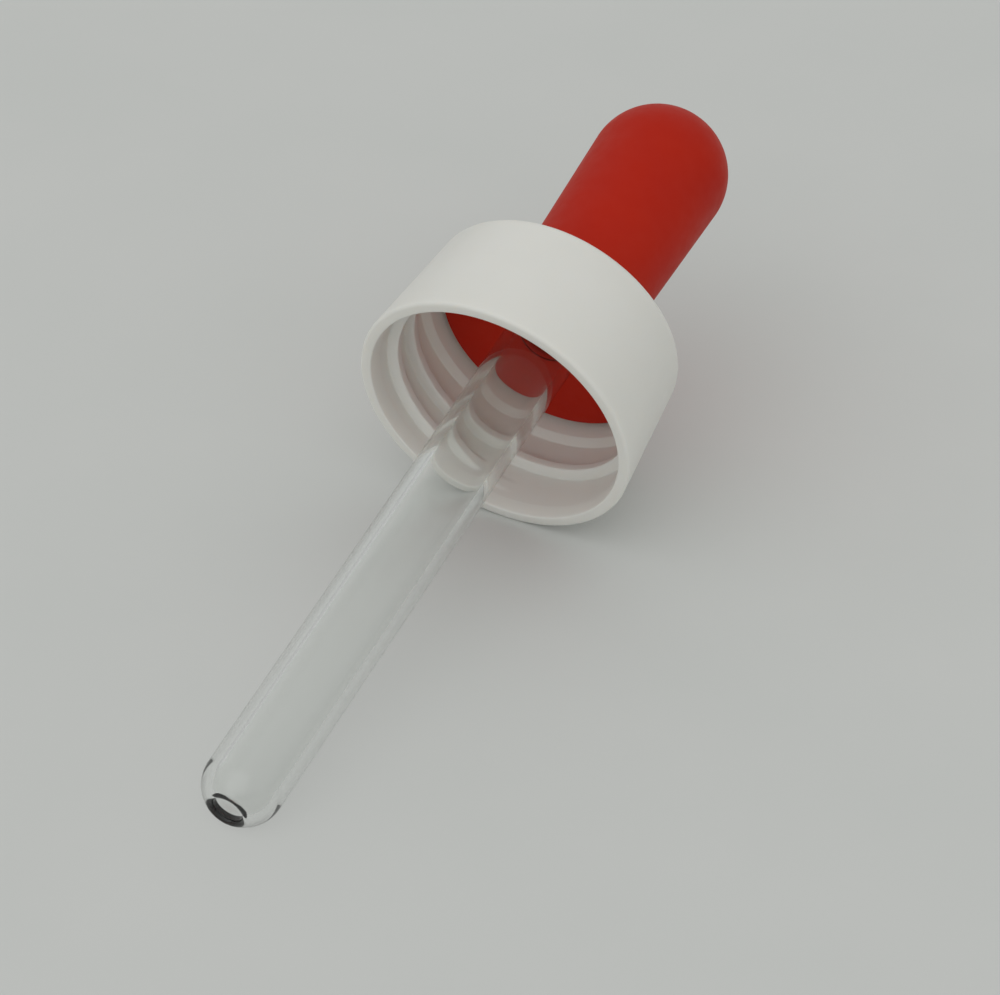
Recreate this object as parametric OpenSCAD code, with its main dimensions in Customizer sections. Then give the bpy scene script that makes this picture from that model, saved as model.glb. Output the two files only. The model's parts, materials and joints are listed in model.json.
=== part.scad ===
// Dropper closure: a rubber squeeze bulb held in a screw cap, with a straight clear pipette plugged
// into the bulb's neck. The pieces are turned shapes about one axis. Along that axis s = 0 is the
// cap's mouth, s rises towards the bulb and falls towards the pipette's tip.
// The dropper lies on a flat surface, resting on the cap's rim and on the pipette's tip.

/* [Cap] */
// Outside diameter of the cap at its mouth
cap_mouth_d = 27; // [26.5:0.1:28]
// Outside diameter of the cap at its closed end
cap_back_d = 24.7; // [24.5:0.1:26]
// Height of the cap
cap_h = 13.4; // [13:0.1:15]
// Thickness of the cap's closed end
panel_t = 1.3; // [1:0.1:1.6]
// Inside diameter of the cap at its mouth
mouth_bore_d = 24.8; // [24.6:0.1:25]
// Inside diameter at the root of the thread
thread_root_d = 24.3; // [24.1:0.1:24.5]
// Inside diameter at the crest of the thread
thread_crest_d = 22.5; // [22.2:0.1:23]
// Rise of the thread in one turn
thread_pitch = 3.175; // [3:0.025:3.2]
// Turns of thread
thread_turns = 1.5; // [1:0.25:1.5]

/* [Bulb] */
// Outside diameter of the bulb where it leaves the cap
bulb_base_d = 12; // [11.8:0.1:12.6]
// Diameter of the bulb's round end
dome_d = 13.3; // [13:0.1:14]
// Height of the bulb above the cap
bulb_h = 27; // [26:0.5:30]
// Thickness of the bulb's wall
bulb_wall = 1.3; // [1.1:0.1:1.4]
// Diameter of the sealing flange inside the cap
flange_d = 21.8; // [21:0.1:22]
// Thickness of the sealing flange
flange_t = 1.1; // [1:0.1:1.5]
// Width across each of the two places where fingers press
pad_w = 6.8; // [6:0.1:7]
// Length along the bulb of those places
pad_len = 11.5; // [9:0.5:12]

/* [Pipette] */
// Outside diameter of the pipette
pipette_d = 7.2; // [7:0.05:7.3]
// Thickness of the pipette's wall
pipette_wall = 1; // [0.8:0.1:1.2]
// Length of the pipette beyond the cap's mouth
pipette_out = 49; // [40:1:70]
// Length of the pipette held in the bulb's neck
pipette_in = 7.6; // [6:0.1:8]
// Diameter of the pipette's plug end, which the bulb's neck grips
plug_d = 7.6; // [7.6:0.05:7.8]
// Diameter of the hole in the tip
orifice_d = 2.8; // [1.5:0.1:3]

/* [Hidden] */
$fn = 96;

fit_gap = 0.08;       // radial, where the bulb's neck turns in the cap
face_gap = 0.1;       // axial, each side of the cap's closed end
sleeve_gap = 0.03;    // radial, where the pipette slides in the bulb's neck
kerf = 0.15;          // round each finger place, where the rubber is cut to let it move
mouth_round = 0.3;    // radius of the cap's rim
back_round = 1.2;     // radius of the cap's closed edge
edge_round = 0.35;    // radius of the smaller rubber and glass edges
arc_steps = 6;        // straight runs in a quarter of a small rounding
dome_steps = 20;      // straight runs in the bulb's dome
overlap = 0.4;        // how far the thread is sunk into the wall

// Cap
land_s = 9.7;                              // where the wall thickens above the thread
land_d = thread_crest_d + 0.5;
panel_s = cap_h - panel_t;                 // inner face of the closed end
neck_d = bulb_base_d - 1.2;
hole_d = neck_d + 2 * fit_gap;
thread_s = 2.6;                            // start of the thread, above the mouth
thread_root_w = 1.7;
thread_crest_w = 0.7;
thread_fn = 48;                            // steps in one turn

// Bulb
flange_back = panel_s - face_gap;
flange_face = flange_back - flange_t;
shoulder_s = cap_h + face_gap;
dome_s = cap_h + bulb_h - dome_d / 2;      // centre of the dome
sleeve_d = plug_d + 2 * sleeve_gap;
sleeve_end = flange_face + pipette_in + 0.6;
chamber_s = sleeve_end + 1.5;              // where the chamber reaches its full width
pad_s = dome_s - pad_len - 0.8;            // start of the finger places

// Pipette
tip_r = pipette_d / 2;
plug_s = flange_face - 0.4;                // the plug end's shoulder, just under the flange
tip_s = -pipette_out + sqrt(pow(tip_r, 2) - pow(orifice_d / 2, 2));   // centre of the round end
bore_d = pipette_d - 2 * pipette_wall;

// Lying on its side: the rim's rounding and the tip's round end both touch the surface.
rim_r = cap_mouth_d / 2 - mouth_round;
rest_span = mouth_round - tip_s;
lie_tilt = acos((tip_r - mouth_round) / norm([rim_r, rest_span])) - atan2(rest_span, rim_r);
axis_h = tip_r - tip_s * sin(lie_tilt);    // height of the axis at the cap's mouth
low_x = -pipette_out * cos(lie_tilt) - orifice_d / 2 * sin(lie_tilt);
high_x = dome_s * cos(lie_tilt) + dome_d / 2;

// Points of an arc about [x, y] from angle a0 to a1
function arc(x, y, r, a0, a1, n = arc_steps) =
    [for (i = [0:n]) let (a = a0 + (a1 - a0) * i / n) [x + r * cos(a), y + r * sin(a)]];

// Radius of the bulb's outside at s: a straight taper from the shoulder to the dome
function bulb_r(s) =
    bulb_base_d / 2 + (dome_d - bulb_base_d) / 2 * (s - shoulder_s) / (dome_s - shoulder_s);

// Lays the turned pieces down, with the bulb's end towards +X and the middle at x = 0.
module lie() {
    translate([-(low_x + high_x) / 2, 0, axis_h])
        rotate([0, 90 - lie_tilt, 0])
            children();
}

// The helical ridge: one four-cornered section swept along a helix, fading in and out at its ends
module thread_ridge() {
    steps = thread_turns * thread_fn;
    fade = thread_fn / 8;
    root_r = thread_root_d / 2 + overlap;
    points = [
        for (i = [0:steps])
            let (
                a = 360 * i / thread_fn,
                share = min(1, i / fade + 0.15, (steps - i) / fade + 0.15),
                crest_r = thread_root_d / 2 - share * (thread_root_d - thread_crest_d) / 2,
                mid = thread_s + thread_pitch * i / thread_fn
            )
            for (c = [
                [root_r, -thread_root_w / 2], [root_r, thread_root_w / 2],
                [crest_r, thread_crest_w / 2], [crest_r, -thread_crest_w / 2]
            ])
                [c[0] * cos(a), c[0] * sin(a), mid + c[1]]
    ];
    sides = [
        for (i = [0:steps - 1], k = [0:3])
            let (p = 4 * i + k, q = 4 * i + (k + 1) % 4)
            each [[p, q, q + 4], [p, q + 4, p + 4]]
    ];
    ends = [[3, 2, 1, 0], [for (k = [0:3]) 4 * steps + k]];
    polyhedron(points, concat(sides, ends), convexity = 6);
}

module screw_cap() {
    color("whitesmoke") lie() union() {
        rotate_extrude() polygon(concat(
            [[mouth_bore_d / 2, 0]],
            arc(rim_r, mouth_round, mouth_round, -90, 0),
            arc(cap_back_d / 2 - back_round, cap_h - back_round, back_round, 0, 90),
            [
                [hole_d / 2, cap_h],
                [hole_d / 2, panel_s],
                [land_d / 2, panel_s],
                [land_d / 2, land_s],
                [thread_root_d / 2, land_s - 0.6],
                [thread_root_d / 2, 1.2]
            ]
        ));
        thread_ridge();
    }
}

// Half section of the whole rubber moulding, in [radius, s]
module bulb_section() {
    outer = concat(
        [[sleeve_d / 2 + edge_round, flange_face]],
        arc(flange_d / 2 - edge_round, flange_face + edge_round, edge_round, -90, 0),
        arc(flange_d / 2 - edge_round, flange_back - edge_round, edge_round, 0, 90),
        [[neck_d / 2, flange_back], [neck_d / 2, shoulder_s]],
        arc(bulb_base_d / 2 - edge_round, shoulder_s + edge_round, edge_round, -90, 0),
        arc(0, dome_s, dome_d / 2, 0, 90, dome_steps)
    );
    inner = concat(
        arc(0, dome_s, dome_d / 2 - bulb_wall, 90, 0, dome_steps),
        [
            [bulb_r(chamber_s) - bulb_wall, chamber_s],
            [sleeve_d / 2, sleeve_end],
            [sleeve_d / 2, flange_face + edge_round]
        ]
    );
    polygon(concat(outer, inner));
}

// The block round one finger place: side is 1 on the +Y side and -1 on the -Y side
module pad_block(side, grow) {
    width = pad_w + 2 * grow;
    translate([-width / 2, side > 0 ? 0 : -dome_d, pad_s - grow])
        cube([width, dome_d, pad_len + 2 * grow]);
}

module bulb() {
    color("firebrick") lie() difference() {
        rotate_extrude() bulb_section();
        pad_block(1, kerf);
        pad_block(-1, kerf);
    }
}

module bulb_wall_side(side) {
    color("firebrick") lie() intersection() {
        rotate_extrude() bulb_section();
        pad_block(side, 0);
    }
}

module bulb_wall_left() {
    bulb_wall_side(1);
}

module bulb_wall_right() {
    bulb_wall_side(-1);
}

module pipette() {
    top_s = flange_face + pipette_in;
    color("lightcyan", 0.4) lie() rotate_extrude() polygon(concat(
        arc(0, tip_s, tip_r, asin(orifice_d / pipette_d) - 90, 0, dome_steps),
        [[tip_r, plug_s], [plug_d / 2, plug_s + 0.2]],
        arc(plug_d / 2 - edge_round, top_s - edge_round, edge_round, 0, 90),
        [[bore_d / 2, top_s]],
        arc(0, tip_s, bore_d / 2, 0, asin(orifice_d / bore_d) - 90, dome_steps)
    ));
}

screw_cap();
bulb();
bulb_wall_left();
bulb_wall_right();
pipette();
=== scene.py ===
"""A dropper closure lying on its side: a moulded screw cap, a rubber squeeze bulb and a glass pipette.

Each piece is a turned mesh about the dropper's own axis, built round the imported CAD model. Lengths
are in millimetres until place() puts a point in the frame.
"""

import json
import math

import bmesh
import bpy
import numpy as np
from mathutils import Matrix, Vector


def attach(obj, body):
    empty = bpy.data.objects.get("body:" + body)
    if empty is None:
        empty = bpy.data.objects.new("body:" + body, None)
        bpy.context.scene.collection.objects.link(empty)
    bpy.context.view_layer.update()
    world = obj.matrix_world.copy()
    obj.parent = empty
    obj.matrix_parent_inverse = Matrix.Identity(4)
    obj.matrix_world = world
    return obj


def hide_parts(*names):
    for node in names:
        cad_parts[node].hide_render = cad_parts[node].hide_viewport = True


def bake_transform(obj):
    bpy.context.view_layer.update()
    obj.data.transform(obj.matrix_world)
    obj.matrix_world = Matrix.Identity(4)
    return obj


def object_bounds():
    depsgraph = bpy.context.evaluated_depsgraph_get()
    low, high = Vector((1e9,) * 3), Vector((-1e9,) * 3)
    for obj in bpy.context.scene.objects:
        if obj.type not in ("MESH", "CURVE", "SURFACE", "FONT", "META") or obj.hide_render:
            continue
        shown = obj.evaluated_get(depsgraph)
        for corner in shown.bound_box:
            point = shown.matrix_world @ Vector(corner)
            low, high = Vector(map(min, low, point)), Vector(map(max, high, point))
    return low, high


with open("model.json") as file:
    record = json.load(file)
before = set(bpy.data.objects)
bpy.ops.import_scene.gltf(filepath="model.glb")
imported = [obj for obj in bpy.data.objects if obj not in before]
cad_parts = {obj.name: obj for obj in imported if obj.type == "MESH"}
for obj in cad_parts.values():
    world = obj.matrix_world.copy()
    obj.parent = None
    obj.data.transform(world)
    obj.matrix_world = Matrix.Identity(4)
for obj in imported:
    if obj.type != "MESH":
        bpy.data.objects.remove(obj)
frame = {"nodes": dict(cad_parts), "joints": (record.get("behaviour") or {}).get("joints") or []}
cad_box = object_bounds()

MM = 0.001

# The dropper's own axis, from the joint that the bulb turns on. s runs along it from the cap's mouth
# towards the bulb, r is the distance from it, and a is the angle round it from straight down.
turn = next(j for j in frame["joints"] if j["name"] == "bulb_turn")
MOUTH = np.array(turn["pos_m"], float)
AXIS = np.array(turn["axis"], float)
SIDE = np.array([0.0, 1.0, 0.0])
DOWN = np.cross(SIDE, AXIS)


def place(r, a, s):
    """Points of the frame, in metres, from r and s in millimetres and a in radians."""
    r, a, s = np.broadcast_arrays(r, a, s)
    across = (r * np.cos(a))[..., None] * DOWN + (r * np.sin(a))[..., None] * SIDE
    return MOUTH + MM * (s[..., None] * AXIS + across)


def turned(*names):
    """r and s in millimetres of every vertex of these CAD nodes."""
    points = np.array([v.co for n in names for v in frame["nodes"][n].data.vertices], float) - MOUTH
    return np.hypot(points @ DOWN, points @ SIDE) / MM, points @ AXIS / MM


def radius_near(r, s, level, pick=np.max):
    """The largest radius, or the smallest with pick=np.min, of the vertices close to a level."""
    return float(pick(r[np.abs(s - level) < 0.02]))


# ---------------------------------------------------------------- sizes, in millimetres

# Cap, measured on the CAD node
r, s = turned("screw_cap")
MOUTH_R = float(r.max())
CAP_H = float(s.max())
HOLE_R = float(r.min())
PANEL_S = float(s[r < HOLE_R + 0.01].min())
MOUTH_BORE_R = radius_near(r, s, 0, np.min)

# Cap, the same values as in the CAD source
RIM_ROUND = 0.3
BACK_ROUND = 1.2
BACK_R = radius_near(r, s, CAP_H) + BACK_ROUND
ROOT_R = 12.15
LAND_R = 11.5
LAND_S = 9.7
ROOT_LOW, ROOT_HIGH = 1.2, 9.1
THREAD_S = 2.6
THREAD_PITCH = 3.175
THREAD_TURNS = 1.5
THREAD_FADE = 1 / 8
THREAD_DEPTH = 0.9
THREAD_ROOT_W = 1.7
THREAD_CREST_W = 0.7

# Cap, small rounds on edges that the CAD leaves sharp
RIM_INNER_ROUND = 0.15
HOLE_ROUND = 0.2
LAND_ROUND = 0.3

# Bulb, measured on the CAD nodes, apart from the gap between it and the cap's closed end
r, s = turned("bulb", "bulb_wall_left", "bulb_wall_right")
FLANGE_R = float(r.max())
FLANGE_FACE = float(s.min())
FACE_GAP = 0.1
FLANGE_BACK = PANEL_S - FACE_GAP
SLEEVE_R = float(r[(s < CAP_H) & (r > 1)].min())
SHOULDER_S = CAP_H + FACE_GAP
BULB_TOP = float(s.max())
DOME_R = float(r[s > CAP_H + 8].max())
DOME_S = BULB_TOP - DOME_R

# Bulb, the same values as in the CAD source
BASE_R = 6.0
NECK_R = 5.4
WALL = 1.3
SLEEVE_END = 19.1
CHAMBER_S = 20.6
RUBBER_EDGE = 0.35

# Bulb, small rounds in corners that the CAD leaves sharp
FLANGE_FILLET = 0.2
NECK_FILLET = 0.1

# Pipette, measured on the CAD node, apart from its wall and its shoulder
r, s = turned("pipette")
PLUG_R = float(r.max())
PLUG_TOP = float(s.max())
TIP_END = float(s.min())
ORIFICE_R = radius_near(r, s, TIP_END)
SHOULDER_LOW, SHOULDER_HIGH = 10.5, 10.7
TUBE_R = radius_near(r, s, SHOULDER_LOW)
TUBE_WALL = 1.0
BORE_R = TUBE_R - TUBE_WALL
TIP_S = TIP_END + math.sqrt(TUBE_R**2 - ORIFICE_R**2)


# ---------------------------------------------------------------- outlines


def arc(r, s, radius, start, stop, steps=6):
    """Points (r, s) of an arc about a centre, from one angle to another in degrees."""
    turns = np.radians(np.linspace(start, stop, steps + 1))
    return [(r + radius * math.cos(t), s + radius * math.sin(t)) for t in turns]


def between(a, b, steps):
    """The points that cut the line from a to b into even steps, without its ends."""
    return [tuple(np.array(a) + (np.array(b) - np.array(a)) * i / steps) for i in range(1, steps)]


def smooth(t):
    """0 below 0, 1 above 1, and an even S between."""
    t = np.clip(t, 0, 1)
    return t * t * (3 - 2 * t)


def ridge(a, s):
    """Height of the thread above its root, at angle a and level s. It fades in and out at its ends."""
    height = np.zeros(np.broadcast(a, s).shape)
    crest, root = THREAD_CREST_W / 2, THREAD_ROOT_W / 2
    for lap in range(math.ceil(THREAD_TURNS)):
        along = (a % (2 * math.pi)) / (2 * math.pi) + lap
        away = np.abs(s - THREAD_S - THREAD_PITCH * along)
        ends = smooth(along / THREAD_FADE) * smooth((THREAD_TURNS - along) / THREAD_FADE)
        height = np.maximum(height, smooth((root - away) / (root - crest)) * ends)
    return height * THREAD_DEPTH


def cap_outline():
    """The cap's half section, from the mouth's inner edge round the outside and back up the inside."""
    small = RIM_INNER_ROUND
    rim = (MOUTH_R, RIM_ROUND)
    back = (BACK_R, CAP_H - BACK_ROUND)
    points = arc(MOUTH_BORE_R + small, small, small, 180, 270, 4)
    points += arc(MOUTH_R - RIM_ROUND, RIM_ROUND, RIM_ROUND, -90, 0)
    points += between(rim, back, 20)
    points += arc(back[0] - BACK_ROUND, back[1], BACK_ROUND, 0, 90, 14)
    points += between((back[0] - BACK_ROUND, CAP_H), (HOLE_R + HOLE_ROUND, CAP_H), 8)
    points += arc(HOLE_R + HOLE_ROUND, CAP_H - HOLE_ROUND, HOLE_ROUND, 90, 180, 5)
    points += arc(HOLE_R + small, PANEL_S + small, small, 180, 270, 4)
    points += arc(LAND_R - LAND_ROUND, PANEL_S - LAND_ROUND, LAND_ROUND, 90, 0)
    points += [(LAND_R, LAND_S + 0.15), (LAND_R + 0.04, LAND_S + 0.03)]
    points += [(ROOT_R - 0.05, ROOT_HIGH + 0.06)]
    points += [(ROOT_R, s) for s in np.linspace(ROOT_HIGH, ROOT_LOW, 80)]
    return np.array(points)


def bulb_outline():
    """The rubber moulding's half section, from the flange round the dome and back down the inside."""
    edge = RUBBER_EDGE
    base = (BASE_R, SHOULDER_S + edge)
    points = arc(SLEEVE_R + edge, FLANGE_FACE + edge, edge, 180, 270, 5)
    points += between((SLEEVE_R + edge, FLANGE_FACE), (FLANGE_R - edge, FLANGE_FACE), 10)
    points += arc(FLANGE_R - edge, FLANGE_FACE + edge, edge, -90, 0, 5)
    points += arc(FLANGE_R - edge, FLANGE_BACK - edge, edge, 0, 90, 5)
    points += arc(NECK_R + FLANGE_FILLET, FLANGE_BACK + FLANGE_FILLET, FLANGE_FILLET, 270, 180, 4)
    points += arc(NECK_R + NECK_FILLET, SHOULDER_S - NECK_FILLET, NECK_FILLET, 180, 90, 3)
    points += arc(BASE_R - edge, SHOULDER_S + edge, edge, -90, 0, 6)
    points += between(base, (DOME_R, DOME_S), 40)
    points += arc(0, DOME_S, DOME_R, 0, 90, 40)
    points += arc(0, DOME_S, DOME_R - WALL, 90, 0, 40)
    taper = (DOME_R - BASE_R) / (DOME_S - SHOULDER_S)
    chamber_r = BASE_R + taper * (CHAMBER_S - SHOULDER_S) - WALL
    points += between((DOME_R - WALL, DOME_S), (chamber_r, CHAMBER_S), 26)
    funnel = np.linspace(0, 1, 8)
    points += [
        (chamber_r + (SLEEVE_R - chamber_r) * float(smooth(t)), CHAMBER_S + (SLEEVE_END - CHAMBER_S) * t)
        for t in funnel
    ]
    points += between((SLEEVE_R, SLEEVE_END), (SLEEVE_R, FLANGE_FACE + edge), 12)
    points = np.array(points)
    points[np.abs(points[:, 0]) < 1e-9, 0] = 0
    return points


def pipette_outline():
    """The tube's half section: flame-rounded tip, straight shank, plug end, and the bore inside."""
    lip, inner_lip, top = 0.35, 0.45, 0.35
    # a lip arc touches the tip's round end from inside and the hole's wall from outside
    drop = math.sqrt((TUBE_R - lip) ** 2 - (ORIFICE_R + lip) ** 2)
    lip_turn = math.degrees(math.atan2(-drop, ORIFICE_R + lip))
    inner_drop = math.sqrt((BORE_R + inner_lip) ** 2 - (ORIFICE_R + inner_lip) ** 2)
    inner_turn = math.degrees(math.atan2(inner_drop, -(ORIFICE_R + inner_lip)))
    points = arc(ORIFICE_R + inner_lip, TIP_S - inner_drop, inner_lip, inner_turn, 180, 5)
    points += arc(ORIFICE_R + lip, TIP_S - drop, lip, -180, lip_turn, 8)
    points += arc(0, TIP_S, TUBE_R, lip_turn, 0, 24)[1:]
    points += between((TUBE_R, TIP_S), (TUBE_R, SHOULDER_LOW), 60)
    for t in np.linspace(0, 1, 7):
        swell = (PLUG_R - TUBE_R) * float(smooth(t))
        points.append((TUBE_R + swell, SHOULDER_LOW + (SHOULDER_HIGH - SHOULDER_LOW) * t))
    points += arc(PLUG_R - top, PLUG_TOP - top, top, 0, 90)
    points += arc(BORE_R + top, PLUG_TOP - top, top, 90, 180)
    points += between((BORE_R, PLUG_TOP - top), (BORE_R, TIP_S), 66)
    points += arc(0, TIP_S, BORE_R, 0, inner_turn - 180, 20)[:-1]
    return np.array(points)


# ---------------------------------------------------------------- meshes


def shell(name, r, s, angles, whole):
    """A turned mesh. Rows of r and s follow a closed outline, and columns follow the angles.

    whole joins the last column to the first. Otherwise the two cuts are closed with flat faces.
    """
    rows, cols = r.shape
    points = place(r, angles[None, :], s)
    mesh = bmesh.new()
    grid = []
    for i in range(rows):
        if r[i].max() == 0:
            grid.append([mesh.verts.new(points[i, 0])] * cols)
        else:
            grid.append([mesh.verts.new(p) for p in points[i]])
    uv = mesh.loops.layers.uv.new("turned")
    length = np.concatenate([[0], np.cumsum(np.hypot(np.diff(r.mean(1)), np.diff(s.mean(1))))])
    for i in range(rows):
        k = (i + 1) % rows
        for j in range(cols if whole else cols - 1):
            m = (j + 1) % cols
            corners = [(i, j), (i, m), (k, m), (k, j)]
            round_face = list(dict.fromkeys(grid[p][q] for p, q in corners))
            if len(round_face) < 3:
                continue
            face = mesh.faces.new(round_face)
            face.smooth = True
            for loop in face.loops:
                p, q = next(c for c in corners if grid[c[0]][c[1]] is loop.vert)
                across = angles[q] + (2 * math.pi if whole and q == 0 and j == cols - 1 else 0)
                along = length[p] if p or k else length[-1] + 0.1
                loop[uv].uv = (across, along)
    if not whole:
        for j in (0, cols - 1):
            mesh.faces.new([grid[i][j] for i in range(rows)])
    bmesh.ops.recalc_face_normals(mesh, faces=mesh.faces)
    bmesh.ops.triangulate(mesh, faces=[f for f in mesh.faces if len(f.verts) > 4])
    data = bpy.data.meshes.new(name)
    mesh.to_mesh(data)
    mesh.free()
    data.set_sharp_from_angle(angle=math.radians(40))
    piece = bpy.data.objects.new(name, data)
    bpy.context.scene.collection.objects.link(piece)
    return piece


def turned_piece(name, outline, steps, radius=None):
    """A whole turned piece. radius changes the outline's radius with the angle and the level."""
    angles = np.arange(steps) * 2 * math.pi / steps
    r = np.repeat(outline[:, :1], steps, axis=1)
    s = np.repeat(outline[:, 1:], steps, axis=1)
    if radius is not None:
        r = radius(r, angles[None, :], s)
    return shell(name, r, s, angles, whole=True)


def cap_radius(r, a, s):
    """The cap's outline with the thread standing in from its root."""
    inside = np.abs(r - ROOT_R) < 1e-6
    return np.where(inside, r - ridge(a, s), r)


def bulb_half(name, start):
    """One side of the rubber moulding, cut along the mould's parting line."""
    outline = bulb_outline()
    thin = math.radians(0.12)  # width of the strip of faces beside each cut
    angles = start + np.concatenate([[0], np.linspace(thin, math.pi - thin, 97), [math.pi]])
    r = np.repeat(outline[:, :1], len(angles), axis=1)
    s = np.repeat(outline[:, 1:], len(angles), axis=1)
    piece = shell(name, r, s, angles, whole=False)
    middle = Vector(place(0.0, 0.0, (SLEEVE_END + BULB_TOP) / 2))
    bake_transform(piece)
    return piece


# ---------------------------------------------------------------- materials


def new_material(name):
    """A material with its Principled shader and its node tree."""
    material = bpy.data.materials.new(name)
    material.use_nodes = True
    tree = material.node_tree
    return material, tree, tree.nodes["Principled BSDF"]


def noise(tree, scale, detail=3.0, stretch=(1, 1, 1), source="Object"):
    """A noise pattern in the piece's own coordinates. scale is in cycles per metre."""
    coordinates = tree.nodes.new("ShaderNodeTexCoord")
    mapping = tree.nodes.new("ShaderNodeMapping")
    mapping.inputs["Scale"].default_value = stretch
    texture = tree.nodes.new("ShaderNodeTexNoise")
    texture.inputs["Scale"].default_value = scale
    texture.inputs["Detail"].default_value = detail
    tree.links.new(coordinates.outputs[source], mapping.inputs["Vector"])
    tree.links.new(mapping.outputs["Vector"], texture.inputs["Vector"])
    return texture.outputs["Fac"]


def spread(tree, value, low, high, start=0.3, stop=0.7):
    """A pattern's middle range mapped to low and high."""
    node = tree.nodes.new("ShaderNodeMapRange")
    node.inputs["From Min"].default_value = start
    node.inputs["From Max"].default_value = stop
    node.inputs["To Min"].default_value = low
    node.inputs["To Max"].default_value = high
    tree.links.new(value, node.inputs["Value"])
    return node.outputs["Result"]


def tint(tree, share, first, second):
    """One colour turning into another by a pattern's share."""
    node = tree.nodes.new("ShaderNodeMix")
    node.data_type = "RGBA"
    node.inputs["A"].default_value = (*first, 1)
    node.inputs["B"].default_value = (*second, 1)
    tree.links.new(share, node.inputs["Factor"])
    return node.outputs["Result"]


def bump(tree, height, depth_mm, normal=None):
    """A bump of this depth over a pattern, on top of another bump if there is one."""
    node = tree.nodes.new("ShaderNodeBump")
    node.inputs["Strength"].default_value = 1.0
    node.inputs["Distance"].default_value = depth_mm * MM
    tree.links.new(height, node.inputs["Height"])
    if normal is not None:
        tree.links.new(normal, node.inputs["Normal"])
    return node.outputs["Normal"]


def cap_plastic():
    """Moulded white polypropylene: faint flow shading, satin, a very fine grain."""
    material, tree, shader = new_material("cap_white_plastic")
    flow = spread(tree, noise(tree, 90, 4), 0, 1)
    white = tint(tree, flow, (0.74, 0.73, 0.69), (0.765, 0.757, 0.72))
    tree.links.new(white, shader.inputs["Base Color"])
    tree.links.new(spread(tree, noise(tree, 400, 5), 0.34, 0.46), shader.inputs["Roughness"])
    waves = bump(tree, noise(tree, 260, 2), 0.012)
    tree.links.new(bump(tree, noise(tree, 6000, 2), 0.0025, waves), shader.inputs["Normal"])
    shader.inputs["IOR"].default_value = 1.49
    shader.inputs["Subsurface Weight"].default_value = 0.4
    shader.inputs["Subsurface Radius"].default_value = (1.0, 0.9, 0.8)
    shader.inputs["Subsurface Scale"].default_value = 1.2 * MM
    return material


def bulb_rubber():
    """Red moulded rubber: a dusty bloom, a fine moulded grain and a soft sheen at its edges."""
    material, tree, shader = new_material("bulb_red_rubber")
    bloom = spread(tree, noise(tree, 170, 6), 0, 1, 0.35, 0.75)
    red = tint(tree, bloom, (0.44, 0.011, 0.001), (0.47, 0.015, 0.002))
    tree.links.new(red, shader.inputs["Base Color"])
    tree.links.new(spread(tree, noise(tree, 700, 5), 0.50, 0.64), shader.inputs["Roughness"])
    waves = bump(tree, noise(tree, 320, 2), 0.02)
    tree.links.new(bump(tree, noise(tree, 5000, 3), 0.004, waves), shader.inputs["Normal"])
    shader.inputs["IOR"].default_value = 1.5
    shader.inputs["Specular IOR Level"].default_value = 0.14
    shader.inputs["Sheen Weight"].default_value = 0.06
    shader.inputs["Sheen Roughness"].default_value = 0.45
    shader.inputs["Sheen Tint"].default_value = (1.0, 0.55, 0.5, 1)
    return material


def pipette_glass():
    """Clear drawn glass: faint draw lines along the tube and light handling smears."""
    material, tree, shader = new_material("pipette_clear_glass")
    smears = noise(tree, 500, 4)
    tree.links.new(spread(tree, smears, 0.0, 0.02, 0.5, 0.8), shader.inputs["Roughness"])
    lines = noise(tree, 6.0, 2, stretch=(1.0, 0.006, 1.0), source="UV")
    tree.links.new(bump(tree, lines, 0.0005), shader.inputs["Normal"])
    shader.inputs["Base Color"].default_value = (0.945, 0.955, 0.945, 1)
    shader.inputs["Transmission Weight"].default_value = 0.99
    shader.inputs["IOR"].default_value = 1.5
    return material


def floor_material():
    """A pale, matt laminate with the faintest mottling."""
    material, tree, shader = new_material("pale_floor")
    mottle = spread(tree, noise(tree, 45, 3), 0, 1)
    pale = tint(tree, mottle, (0.615, 0.625, 0.61), (0.63, 0.636, 0.622))
    tree.links.new(pale, shader.inputs["Base Color"])
    tree.links.new(spread(tree, noise(tree, 300, 2), 0.75, 0.85), shader.inputs["Roughness"])
    shader.inputs["Specular IOR Level"].default_value = 0.2
    return material


# ---------------------------------------------------------------- pieces


def finish_piece(piece, material, slot, *nodes):
    """Gives a piece its material and hides the CAD nodes that it stands for. The slot argument is not
    used.
    """
    piece.data.materials.append(material)
    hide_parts(*nodes)


def make_cap():
    piece = turned_piece("moulded_screw_cap", cap_outline(), 240, cap_radius)
    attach(piece, "cap")
    finish_piece(piece, cap_plastic(), "cap_plastic", "screw_cap")


def make_bulb():
    rubber = bulb_rubber()
    left = bulb_half("rubber_bulb_left_half", 0.0)
    right = bulb_half("rubber_bulb_right_half", math.pi)
    finish_piece(left, rubber, "bulb_rubber", "bulb", "bulb_wall_left")
    finish_piece(right, rubber, "bulb_rubber", "bulb", "bulb_wall_right")


def make_pipette():
    piece = turned_piece("glass_pipette", pipette_outline(), 160)
    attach(piece, "pipette")
    finish_piece(piece, pipette_glass(), "pipette_glass", "pipette")
    # clear glass shades the floor only a little, so light bounced off the floor passes it by
    piece.visible_diffuse = False


# ---------------------------------------------------------------- stage


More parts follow.
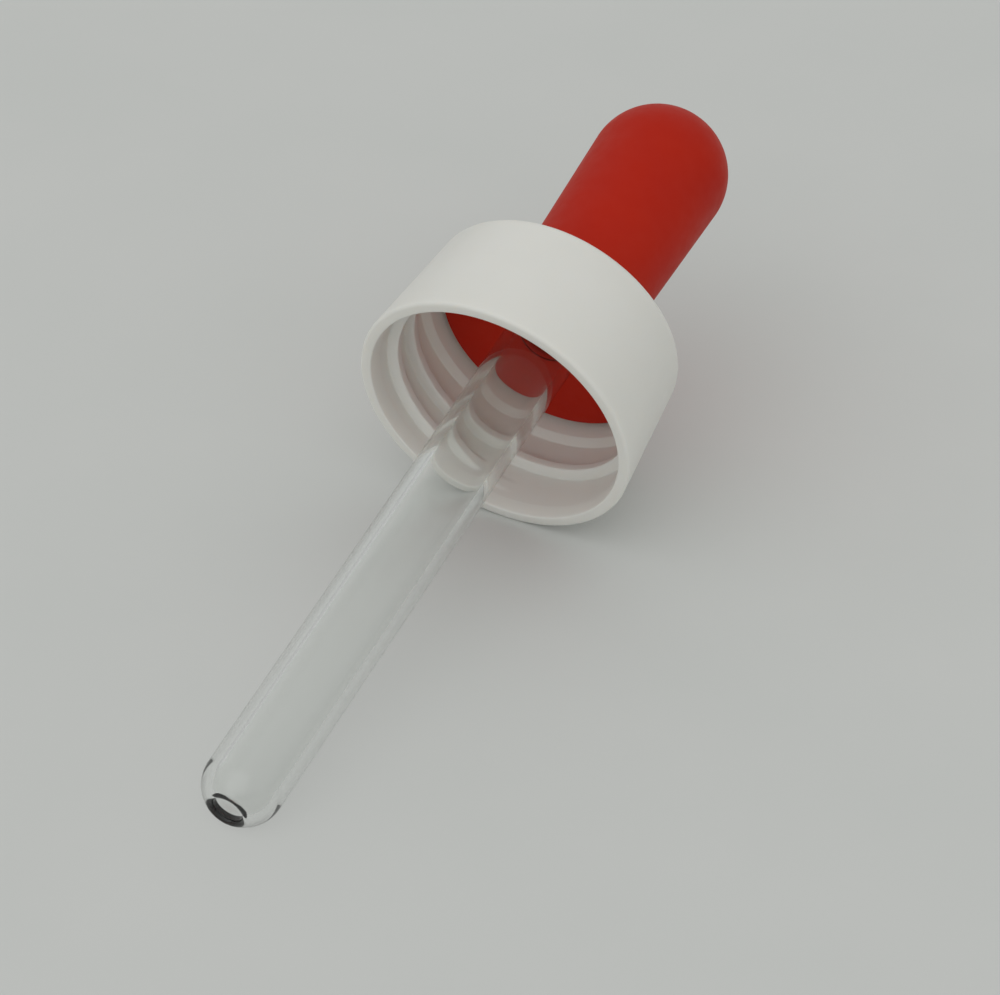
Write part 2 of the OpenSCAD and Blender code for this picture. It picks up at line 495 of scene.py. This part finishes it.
def make_floor():
    """A wide, flat, pale floor that the dropper lies on."""
    size = 3.0  # metres from the middle to each side
    data = bpy.data.meshes.new("floor")
    corners = [(-size, -size, 0), (size, -size, 0), (size, size, 0), (-size, size, 0)]
    data.from_pydata(corners, [], [(0, 1, 2, 3)])
    floor = bpy.data.objects.new("floor", data)
    floor.data.materials.append(floor_material())
    bpy.context.scene.collection.objects.link(floor)


def soft_light(name, towards, distance, size, power):
    """A square area light that shines on the dropper from a direction."""
    data = bpy.data.lights.new(name, "AREA")
    data.size = size
    data.energy = power
    light = bpy.data.objects.new(name, data)
    direction = Vector(towards).normalized()
    light.location = direction * distance
    light.rotation_euler = direction.to_track_quat("Z", "Y").to_euler()
    bpy.context.scene.collection.objects.link(light)


def make_light():
    """Soft light from all round, dimmer near the horizon, and one big lamp above the viewer's left."""
    horizon, overhead, full_height = 0.40, 0.735, 0.4
    world = bpy.data.worlds.new("room")
    world.use_nodes = True
    tree = world.node_tree
    background = tree.nodes["Background"]
    background.inputs["Color"].default_value = (0.985, 1.0, 0.985, 1)
    direction = tree.nodes.new("ShaderNodeTexCoord")
    height = tree.nodes.new("ShaderNodeSeparateXYZ")
    tree.links.new(direction.outputs["Generated"], height.inputs["Vector"])
    strength = spread(tree, height.outputs["Z"], horizon, overhead, 0.0, full_height)
    tree.links.new(strength, background.inputs["Strength"])
    bpy.context.scene.world = world
    soft_light("window", (-0.8, -0.02, 0.75), 1.2, 1.5, 2.4)


def make_camera():
    """A long lens with no roll, aimed a little below and beside the middle of the dropper."""
    azimuth, elevation, distance = math.radians(-62.3), math.radians(36.5), 398.3 * MM
    middle = (cad_box[0] + cad_box[1]) / 2
    aim = middle + Vector((-2.0, -4.0, -4.2)) * MM
    flat = math.cos(elevation)
    back = Vector((math.sin(azimuth) * flat, -math.cos(azimuth) * flat, math.sin(elevation)))
    data = bpy.data.cameras.new("camera")
    data.lens = 162
    data.sensor_width = 36
    data.clip_start = 0.01
    camera = bpy.data.objects.new("camera", data)
    camera.location = aim + back * distance
    camera.rotation_euler = back.to_track_quat("Z", "Y").to_euler()
    bpy.context.scene.collection.objects.link(camera)
    bpy.context.scene.camera = camera


make_camera()
make_cap()
make_bulb()
make_pipette()
make_floor()
make_light()
bpy.context.scene.view_settings.view_transform = "Standard"
